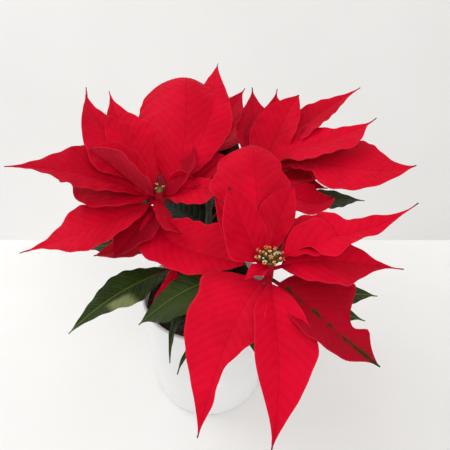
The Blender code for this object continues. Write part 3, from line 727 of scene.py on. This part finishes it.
def make_soil(earth, fibre):
    """The soil, lumpy on top, with loose clumps and bits of fibre lying on it."""
    chance = random.Random(7)
    hole = TRUNK_RADIUS + GAP
    bottom = POT_FLOOR + GAP
    side = bottom + FLOOR_ROUND
    rim = pot_radius(SOIL_TOP) - POT_WALL - GAP
    profile = [(0.0, bottom), (pot_radius(bottom) - POT_WALL - FLOOR_ROUND - GAP, bottom)]
    profile.append((pot_radius(side) - POT_WALL - GAP, side))
    first_top = len(profile) - 1
    for i in range(SOIL_RINGS):
        profile.append((rim + (hole - rim) * i / (SOIL_RINGS - 1), SOIL_TOP))
    last_top = len(profile) - 2
    profile += [(hole, TRUNK_FOOT - GAP), (0.0, TRUNK_FOOT - GAP)]
    swells = [
        (chance.uniform(*SWELL_TURNS), chance.uniform(*SWELL_TURNS), chance.uniform(0, PHASES))
        for _ in range(SOIL_SWELLS)
    ]

    def rise_at(x, y):
        return SOIL_SWELL * sum(math.sin(a * x + b * y + c) for a, b, c in swells) / len(swells)

    def bump(i, x, y):
        if not first_top <= i < last_top:
            return 0.0
        return rise_at(x, y) + chance.uniform(-SOIL_ROUGHNESS, SOIL_ROUGHNESS)

    def somewhere(from_trunk, from_wall):
        """A point on the soil, at least so far from the trunk and from the pot's wall."""
        turn = chance.uniform(0, math.tau)
        away = math.sqrt(chance.uniform((hole + from_trunk) ** 2, (rim - from_wall) ** 2))
        x, y = away * math.cos(turn), away * math.sin(turn)
        return np.array([x, y, SOIL_TOP + rise_at(x, y)])

    soil = Piece()
    soil.add(*lathe(profile, SOIL_SIDES, bump))
    for _ in range(SOIL_CLUMPS):
        spot = somewhere(*CLUMP_CLEARANCE)
        size = chance.uniform(*CLUMP_SIZES)
        soil.add(*crumb(spot + UP * size * 0.25, size, chance), tone=chance.uniform(-1, 1))
    for _ in range(SOIL_FIBRES):
        start = somewhere(*FIBRE_CLEARANCE) + UP * FIBRE_LIFT
        lie = chance.uniform(0, PHASES)
        way = np.array([math.cos(lie), math.sin(lie), chance.uniform(-0.1, 0.25)])
        line = [start + way * FIBRE_STEP * k for k in range(len(FIBRE_RADII))]
        soil.add(*tube(line, FIBRE_RADII, 5), look=1, tone=chance.uniform(-1, 1))
    return soil.build("potting_soil", [earth, fibre], 35)


def crumb(centre, size, chance):
    """A small rough lump of three rings of points, the middle one half a step round."""
    points = []
    for height, reach, shift in CLUMP_RINGS:
        for turn in turns_of(CLUMP_SIDES):
            turn += shift * math.tau / CLUMP_SIDES
            far = size * reach * chance.uniform(0.7, 1.2)
            offset = (far * math.cos(turn), far * math.sin(turn), size * height)
            points.append(centre + np.array(offset))
    return points, ring_faces(len(CLUMP_RINGS), CLUMP_SIDES)


def fork_direction(head):
    """The way a stem leaves the trunk."""
    x, y, _ = HEADS[head]
    return unit(unit(np.array([x, y, 0.0])) + UP * STUB_RISE)


def stem_line(head):
    """The four points that shape the green stem of a head, from its stub to its red top."""
    way = fork_direction(head)
    foot = UP * TRUNK_TOP + way * (STUB_LENGTH + GAP)
    top = np.array(HEADS[head], float) - UP * (HEAD_STEM_LENGTH + GAP)
    reach = np.linalg.norm(top - foot)
    return foot, foot + way * reach * STEM_FIRST_BEND, top - UP * reach * STEM_LAST_BEND, top


def bract_root(head, spec):
    """Where a bract grows from the red stem of its head."""
    return np.array(HEADS[head], float) - UP * spec.drop


def leaf_root(head, spec):
    """Where a green leaf grows from the stem of a head."""
    return bezier(stem_line(head), spec.drop)[0]


def knobbly(line, radii, scars, swelling):
    """Radii of a stem that swells a little where each leaf grows or once grew."""
    grown = []
    for place, radius in zip(line, radii):
        near = min(np.linalg.norm(place - scar) for scar in scars)
        grown.append(radius + swelling * math.exp(-((near / KNOB_REACH) ** 2)))
    return grown


def make_trunk(bark):
    """The trunk and its four stubs."""
    trunk = Piece()
    heights = np.linspace(TRUNK_RINGS[0][0], TRUNK_RINGS[-1][0], 40)
    radii = np.interp(heights, *zip(*TRUNK_RINGS))
    scars = [UP * height for height in TRUNK_SCARS]
    line = [UP * height for height in heights]
    trunk.add(*tube(line, knobbly(line, radii, scars, SMALL_KNOB), 28))
    rows = 12
    for head in HEADS:
        way = fork_direction(head)
        line = [UP * TRUNK_TOP + way * STUB_LENGTH * k / rows for k in range(rows + 1)]
        radii = [STUB_RADIUS - STUB_TAPER * k for k in range(rows + 1)]
        trunk.add(*tube(line, radii, STEM_SIDES))
    return trunk.build("trunk_bark", [bark], 40)


def make_leafy_stem(head, stem_green, leaf_green, leaf_under):
    """A green stem, and its leaves as a piece of their own."""
    stem = Piece()
    shape = stem_line(head)
    rows = 60
    line = [bezier(shape, i / rows)[0] for i in range(rows + 1)]
    radii = [STEM_RADIUS - STEM_TAPER * i / rows for i in range(rows + 1)]
    scars = [leaf_root(head, spec) for spec in LEAVES[head].values()]
    ends = (shape[1] - shape[0], shape[3] - shape[2])
    stem.add(*tube(line, knobbly(line, radii, scars, LEAF_KNOB), STEM_SIDES, ends))
    leaves = Piece()
    for name, spec in LEAVES[head].items():
        leaves.add_blade(spec, leaf_root(head, spec), f"leaf {head} {name}")
    return [
        stem.build("green_stem_" + head, [stem_green]),
        leaves.build("green_leaves_" + head, [leaf_green, leaf_under]),
    ]


def make_red_head(head, bract_red, bract_under):
    """The bracts of a head, a few to a piece, and the red top of its stem."""
    made = []
    scars = []
    for (owner, group), bracts in BRACTS.items():
        if owner != head:
            continue
        piece = Piece()
        for name, spec in bracts.items():
            scars.append(bract_root(head, spec))
            piece.add_blade(spec, scars[-1], f"bract {head} {name}")
        made.append(piece.build(f"bracts_{head}_{group}", [bract_red, bract_under]))
    stem = Piece()
    rows = 24
    top = np.array(HEADS[head], float)
    line = [top - UP * HEAD_STEM_LENGTH * (1 - k / rows) for k in range(rows + 1)]
    radii = np.interp(np.linspace(0, 2, rows + 1), (0, 1, 2), HEAD_STEM_RADII)
    stem.add(*tube(line, knobbly(line, radii, scars, SMALL_KNOB), STEM_SIDES))
    made.append(stem.build("red_stem_" + head, [bract_under]))
    return made


def make_flowers(head, looks):
    """The cluster of small flowers: each a green cup with a yellow lip and red stamens."""
    cluster = Piece()
    chance = random.Random("flowers " + head)
    seat = np.array(HEADS[head], float) + UP * GAP
    cluster.add(*tube([seat, seat + UP * FLOWER_SEAT_HEIGHT], FLOWER_SEAT_RADII, 20))
    for ring, (count, reach, lift, size) in enumerate(FLOWER_RINGS[head]):
        for k in range(count):
            turn = math.tau * (k + OUTER_RING_TURN * ring) / count
            away = np.array([math.cos(turn), math.sin(turn), 0.0])
            start = seat + UP + away * STALK_FOOT
            cup = seat + away * reach + UP * lift
            way = unit(cup - start)
            grow = size * chance.uniform(0.85, 1.1)
            length, radius = CUP_LENGTH * grow, CUP_RADIUS * grow
            cluster.add(*tube([start, (start + cup) / 2, cup + way], STALK_RADII, 10))
            line = [cup + way * length * share for share, _ in CUP_OUTLINE]
            cluster.add(*tube(line, [radius * wide for _, wide in CUP_OUTLINE], 14))
            top = line[-1]
            side = unit(np.cross(way, UP + away * 0.3))
            outward = unit(np.cross(side, way))
            lip = top - way * length * LIP_PLACE[0] + outward * radius * LIP_PLACE[1]
            facing = unit(outward + way * LIP_TILT)
            cluster.add(*lip_of(lip, side, facing, LIP_SIZE * grow), look=1)
            for _ in range(STAMENS):
                spread = side * chance.uniform(*STAMEN_TILT) + outward * chance.uniform(*STAMEN_TILT)
                lean = unit(way + spread)
                root = top - way * STAMEN_DEPTH + side * chance.uniform(*STAMEN_SHIFT)
                tip = root + lean * chance.uniform(*STAMEN_LENGTHS) * grow
                cluster.add(*tube([root, tip], STAMEN_RADII, 6), look=2)
                line = [tip + lean * place for place, _ in POLLEN_SHAPE]
                cluster.add(*tube(line, [wide for _, wide in POLLEN_SHAPE], 7), look=3)
    return cluster.build("flower_cluster_" + head, looks)


def lip_of(centre, side, out, size):
    """The cupped, two-lipped gland on a flower's side."""
    points = []
    across = np.cross(out, side) * 0.6
    for reach, lift in LIP_OUTLINE:
        for turn in turns_of(LIP_SIDES):
            spot = (side * math.cos(turn) + across * math.sin(turn)) * reach + out * lift * 0.7
            points.append(centre + spot * size)
    return points, ring_faces(len(LIP_OUTLINE), LIP_SIDES)


class Field:
    """A number or colour that varies over a surface. Sums on it become nodes."""

    def __init__(self, finish, socket):
        self.finish = finish
        self.socket = socket

    def maths(self, operation, *values):
        return self.finish.node("ShaderNodeMath", {"operation": operation}, dict(enumerate(values)))

    def __add__(self, other):
        return self.maths("ADD", self, other)

    def __sub__(self, other):
        return self.maths("SUBTRACT", self, other)

    def __rsub__(self, other):
        return self.maths("SUBTRACT", other, self)

    def __mul__(self, other):
        return self.maths("MULTIPLY", self, other)

    __radd__ = __add__
    __rmul__ = __mul__

    def fold(self):
        """Distance to the nearest whole number, 0 to 0.5."""
        return self.maths("PINGPONG", self, 0.5)

    def between(self, low, high, start=0.0, end=1.0):
        """Goes smoothly from start to end as this goes from low to high."""
        values = {"Value": self, "From Min": low, "From Max": high, "To Min": start, "To Max": end}
        smooth = {"interpolation_type": "SMOOTHSTEP"}
        return self.finish.node("ShaderNodeMapRange", smooth, values)


class Finish:
    """One material, with the constant settings of its surface."""

    def __init__(self, name, **constants):
        self.material = bpy.data.materials.new(name)
        self.material.use_nodes = True
        self.tree = self.material.node_tree
        self.surface = self.tree.nodes["Principled BSDF"]
        for socket, value in constants.items():
            self.surface.inputs[socket.replace("_", " ")].default_value = value

    def node(self, kind, settings=None, values=None, output=0):
        made = self.tree.nodes.new(kind)
        for key, value in (settings or {}).items():
            setattr(made, key, value)
        for key, value in (values or {}).items():
            self.put(made.inputs[key], value)
        return Field(self, made.outputs[output])

    def put(self, socket, value):
        if isinstance(value, Field):
            self.tree.links.new(value.socket, socket)
        else:
            socket.default_value = value

    def given(self, name):
        """What the mesh says at each point under this name."""
        return self.node("ShaderNodeAttribute", {"attribute_name": name}, output="Fac")

    def place(self):
        return self.node("ShaderNodeTexCoord", output="Object")

    def noise(self, scale, detail=3.0, roughness=0.5):
        values = {
            "Vector": self.place(), "Scale": scale, "Detail": detail, "Roughness": roughness,
        }
        return self.node("ShaderNodeTexNoise", None, values)

    def cells(self, scale):
        """Distance to the nearest edge of a net of cells."""
        values = {"Vector": self.place(), "Scale": scale, "Randomness": 0.9}
        return self.node("ShaderNodeTexVoronoi", {"feature": "DISTANCE_TO_EDGE"}, values)

    def mixed(self, mask, first, second):
        """The first colour where the mask is 0, the second where it is 1."""
        colours = [c if isinstance(c, Field) else (*c, 1.0) for c in (first, second)]
        values = {0: mask, 6: colours[0], 7: colours[1]}
        return self.node("ShaderNodeMix", {"data_type": "RGBA"}, values, output=2)

    def layered(self, first, second, mask, *layers):
        """Two colours mixed, with thin layers over them, each a mask and its tint."""
        colour = self.mixed(mask, first, second)
        for cover, tint in layers:
            colour = self.mixed(cover, colour, tint)
        self.feed("Base Color", colour)

    def roughness(self, field, low, high):
        self.feed("Roughness", field.between(0.2, 0.8, low, high))

    def feed(self, socket, value):
        self.put(self.surface.inputs[socket], value)

    def bumps(self, height, strength, distance):
        values = {"Height": height, "Strength": strength, "Distance": distance}
        self.feed("Normal", self.node("ShaderNodeBump", None, values))


def veins(finish, line=0.055, midrib=0.9):
    """Masks of the side veins, the midrib and the fine net between them."""
    wander = finish.noise(90.0, 2.0) * 0.22 - 0.11
    ribs = finish.given("ribs") + wander
    off = finish.given("off")
    share = finish.given("share")
    side = ribs.fold().between(line, 0.0) * share.between(1.0, 0.7) * off.between(0.3, 2.0)
    middle = off.between(midrib, midrib * 0.35)
    net = finish.cells(420.0).between(0.06, 0.0) * off.between(0.5, 3.0)
    # The swellings between the side veins: bumps, and in the finishes also a painted highlight
    swell = ribs.fold().between(0.0, 0.35)
    return side, middle, net, swell


def bract_finish(name, base, bright, vein, edge, sheen):
    """Velvety red, darker veins, painted highlight on the swellings between veins and a thin pale
    rim.
    """
    finish = Finish(name, Sheen_Weight=sheen, Sheen_Roughness=0.45, Specular_IOR_Level=0.06)
    finish.surface.inputs["Sheen Tint"].default_value = (1.0, 0.1, 0.16, 1.0)
    side, middle, net, swell = veins(finish)
    cloud = finish.noise(28.0, 4.0, 0.6)
    tone = finish.given("tone")
    along = finish.given("along")
    # A thin pale rim along the margin, a painted highlight where the margin catches the light
    rim = finish.given("share").between(0.93, 1.0) * along.between(0.12, 0.3)
    finish.layered(
        base,
        bright,
        # Painted highlight: the swellings between the veins lean towards the bright red
        cloud.between(0.3, 0.7) * 0.5 + swell * 0.15 + tone * 0.14 + 0.15,
        (net * 0.1, vein),
        (side * 0.13, vein),
        (middle * 0.25, vein),
        # Painted shade: darker towards the base of each bract, where the bracts crowd round the stem
        (along.between(0.3, 0.02) * 0.6, vein),
        # Painted shade: the vein colour laid over bracts marked dark
        (finish.given("dark") * 0.9, vein),
        # Painted highlight along the rim
        (rim * 0.2, edge),
        (along.between(0.955, 1.0) * 0.8, BRACT_TIP),
        (finish.given("green") * ribs_green(finish, side, middle), BRACT_GREEN),
    )
    finish.roughness(finish.noise(160.0, 2.0), 0.55, 0.72)
    grain = finish.noise(900.0, 2.0, 0.6)
    height = swell * 0.7 + net * -0.18 + side * -0.5 + middle * -0.6 + grain * 0.12
    finish.bumps(height, 0.22, 0.0006)
    return finish.material


def ribs_green(finish, side, middle):
    """Where a bract that hasn't fully turned keeps its green: along the veins and the base."""
    near_middle = finish.given("off").between(6.0, 0.5)
    spread = side * 0.8 + near_middle * 0.45 + middle * 0.4
    return (spread * finish.noise(70.0).between(0.3, 0.6)).between(0.05, 0.6)


def leaf_finish(name, base, bright, vein, roughness, coat):
    """Dark green with paler veins and a soft shine."""
    finish = Finish(name, Specular_IOR_Level=0.1, Coat_Roughness=0.35)
    finish.surface.inputs["Coat Weight"].default_value = coat
    side, middle, net, swell = veins(finish, 0.05, 1.1)
    cloud = finish.noise(35.0, 4.0, 0.6)
    stalk = finish.given("off").between(1.6, 1.1) * finish.given("along").between(0.4, 0.1)
    finish.layered(
        base,
        bright,
        # Painted highlight: the swellings between the veins lean towards the bright green
        cloud.between(0.3, 0.75) * 0.6 + swell * 0.25 + finish.given("tone") * 0.15,
        (net * 0.25, vein),
        (side * 0.6, vein),
        (middle * 0.8, vein),
        (stalk * 0.6, LEAF_STALK),
        # Painted reflection: the pale patch
        (finish.given("pale") * 0.85, LEAF_PAINTED_REFLECTION),
        # Painted shade on leaves marked dark
        (finish.given("dark") * 0.85, LEAF_PAINTED_SHADE),
    )
    finish.roughness(finish.noise(140.0, 2.0), roughness, roughness + 0.15)
    height = swell * 0.8 + net * -0.2 + side * -0.6 + middle * -0.6
    finish.bumps(height, 0.6, 0.0006)
    return finish.material


def stem_finish():
    finish = Finish("stem_green")
    cloud = finish.noise(60.0, 4.0, 0.65)
    streak = finish.noise(300.0, 2.0).between(0.55, 0.7)
    # The stems' own dark green, made darker still as painted shade, as they stand deep among the
    # leaves
    finish.layered(
        (0.013, 0.022, 0.008),
        (0.038, 0.052, 0.015),
        cloud.between(0.35, 0.7),
        (streak * 0.3, (0.14, 0.06, 0.03)),
    )
    finish.roughness(cloud, 0.45, 0.65)
    finish.bumps(finish.noise(500.0), 0.4, 0.0004)
    return finish.material


def bark_finish():
    finish = Finish("trunk_bark")
    cloud = finish.noise(90.0, 5.0, 0.7)
    cracks = finish.cells(260.0).between(0.08, 0.0)
    finish.layered(
        (0.09, 0.065, 0.035),
        (0.26, 0.21, 0.13),
        cloud.between(0.3, 0.7),
        (cracks * 0.6, (0.04, 0.03, 0.02)),
    )
    finish.roughness(cloud, 0.75, 0.9)
    finish.bumps(cloud - cracks * 0.7, 0.8, 0.0008)
    return finish.material


def soil_finish():
    finish = Finish("damp_soil")
    cloud = finish.noise(160.0, 5.0, 0.7)
    lift = cloud.between(0.3, 0.75) + finish.given("tone") * 0.35
    finish.layered((0.016, 0.010, 0.007), (0.065, 0.042, 0.027), lift)
    finish.roughness(cloud, 0.8, 0.98)
    finish.bumps(finish.noise(700.0, 4.0, 0.7), 0.9, 0.001)
    return finish.material


def fibre_finish():
    finish = Finish("soil_fibre")
    lift = finish.given("tone") * 0.5 + 0.5
    finish.layered((0.07, 0.045, 0.025), (0.24, 0.17, 0.10), lift)
    finish.roughness(finish.noise(300.0), 0.75, 0.95)
    finish.bumps(finish.noise(900.0), 0.5, 0.0003)
    return finish.material


def glaze_finish():
    """Smooth white glaze, a little uneven, with a few tiny pits."""
    finish = Finish("white_glaze", IOR=1.5, Coat_Roughness=0.08)
    finish.surface.inputs["Coat Weight"].default_value = 0.6
    cloud = finish.noise(14.0)
    pits = finish.cells(320.0).between(0.03, 0.0) * finish.noise(50.0).between(0.62, 0.7)
    finish.layered(
        (0.80, 0.81, 0.815),
        (0.86, 0.865, 0.87),
        cloud.between(0.3, 0.7),
        (pits * 0.35, (0.55, 0.54, 0.52)),
    )
    finish.roughness(cloud, 0.28, 0.36)
    finish.bumps(finish.noise(40.0), 0.08, 0.001)
    return finish.material


def small_finish(name, dark, light, scale, roughness):
    """A small part of a flower: two close colours in soft patches."""
    finish = Finish(name)
    cloud = finish.noise(scale, 3.0, 0.6)
    finish.layered(dark, light, cloud.between(0.35, 0.65))
    finish.roughness(cloud, roughness, roughness + 0.15)
    finish.bumps(finish.noise(scale * 4), 0.4, 0.0003)
    return finish.material


def table_finish():
    finish = Finish("pale_table")
    cloud = finish.noise(6.0)
    finish.layered((0.86, 0.86, 0.85), (0.89, 0.89, 0.88), cloud.between(0.3, 0.7))
    finish.roughness(cloud, 0.6, 0.7)
    return finish.material


def wall_finish():
    finish = Finish("pale_wall")
    cloud = finish.noise(3.0, 2.0)
    finish.layered((0.87, 0.865, 0.855), (0.89, 0.885, 0.875), cloud.between(0.3, 0.7))
    finish.roughness(cloud, 0.85, 0.95)
    return finish.material


def slab(name, low, high, finish):
    """A flat rectangular body between two corners, in metres."""
    (x0, y0, z0), (x1, y1, z1) = low, high
    corners = [(x, y, z) for z in (z0, z1) for y in (y0, y1) for x in (x0, x1)]
    faces = [(0, 2, 3, 1), (4, 5, 7, 6), (0, 1, 5, 4), (2, 6, 7, 3), (0, 4, 6, 2), (1, 3, 7, 5)]
    mesh = bpy.data.meshes.new(name)
    mesh.from_pydata(corners, [], faces)
    mesh.materials.append(finish)
    body = bpy.data.objects.new(name, mesh)
    bpy.context.scene.collection.objects.link(body)


def lamp(name, place, target, size, power):
    """A soft oblong lamp that faces a point."""
    light = bpy.data.lights.new(name, "AREA")
    light.shape = "RECTANGLE"
    light.size, light.size_y = size
    light.energy = power
    body = bpy.data.objects.new(name, light)
    bpy.context.scene.collection.objects.link(body)
    x, y, z = np.subtract(place, target)
    body.location = place
    body.rotation_euler = (math.atan2(math.hypot(x, y), z), 0.0, math.atan2(x, -y))


def make_studio():
    """Table, wall, lamps and camera."""
    slab("table_top", *TABLE_CORNERS, table_finish())
    slab("back_wall", *WALL_CORNERS, wall_finish())
    world = bpy.data.worlds.new("soft_room")
    world.use_nodes = True
    background = world.node_tree.nodes["Background"]
    background.inputs["Color"].default_value = ROOM_COLOUR
    background.inputs["Strength"].default_value = ROOM_LIGHT
    bpy.context.scene.world = world
    for name, values in LAMPS.items():
        lamp(name, *values)
    bpy.context.scene.view_settings.view_transform = "Standard"
    camera = bpy.data.cameras.new("camera")
    camera.lens = CAMERA_LENS
    camera.sensor_width = CAMERA_SENSOR
    body = bpy.data.objects.new("camera", camera)
    body.location = CAMERA_PLACE
    body.rotation_euler = (math.radians(90.0 - CAMERA_DIP), 0.0, 0.0)
    bpy.context.scene.collection.objects.link(body)
    bpy.context.scene.camera = body


def stand_for(piece, node):
    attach(piece, "root")
    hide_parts(node)


def main():
    # Each bract finish: base, bright and vein colour, the colour of the rim's painted highlight,
    # sheen
    bract_red = bract_finish(
        "bract_velvet", (0.50, 0.0, 0.014), (0.74, 0.001, 0.026), (0.22, 0.0, 0.008),
        (0.80, 0.04, 0.08), 0.0,
    )
    bract_under = bract_finish(
        "bract_underside", (0.46, 0.006, 0.025), (0.62, 0.02, 0.05), (0.30, 0.004, 0.015),
        (0.75, 0.10, 0.13), 0.06,
    )
    leaf_green = leaf_finish(
        "leaf_face", (0.009, 0.022, 0.003), (0.034, 0.062, 0.006), (0.11, 0.16, 0.03), 0.42, 0.04,
    )
    leaf_under = leaf_finish(
        "leaf_underside", (0.045, 0.070, 0.035), (0.085, 0.115, 0.06), (0.15, 0.18, 0.09), 0.6, 0.0,
    )
    stem_green = stem_finish()
    stand_for(make_pot(glaze_finish()), "pot")
    stand_for(make_soil(soil_finish(), fibre_finish()), "soil")
    stand_for(make_trunk(bark_finish()), "trunk")
    flower_looks = [
        small_finish("flower_cup", (0.03, 0.04, 0.008), (0.16, 0.15, 0.02), 220.0, 0.4),
        small_finish("flower_lip", (0.78, 0.28, 0.04), (0.88, 0.62, 0.26), 300.0, 0.35),
        small_finish("flower_stamen", (0.40, 0.01, 0.01), (0.65, 0.04, 0.02), 400.0, 0.5),
        small_finish("flower_pollen", (0.55, 0.10, 0.03), (0.85, 0.45, 0.12), 500.0, 0.7),
    ]
    for head in HEADS:
        for piece in make_leafy_stem(head, stem_green, leaf_green, leaf_under):
            stand_for(piece, "leafy_stem_" + head)
        for piece in make_red_head(head, bract_red, bract_under):
            stand_for(piece, "red_head_" + head)
        stand_for(make_flowers(head, flower_looks), "flowers_" + head)
    make_studio()


main()
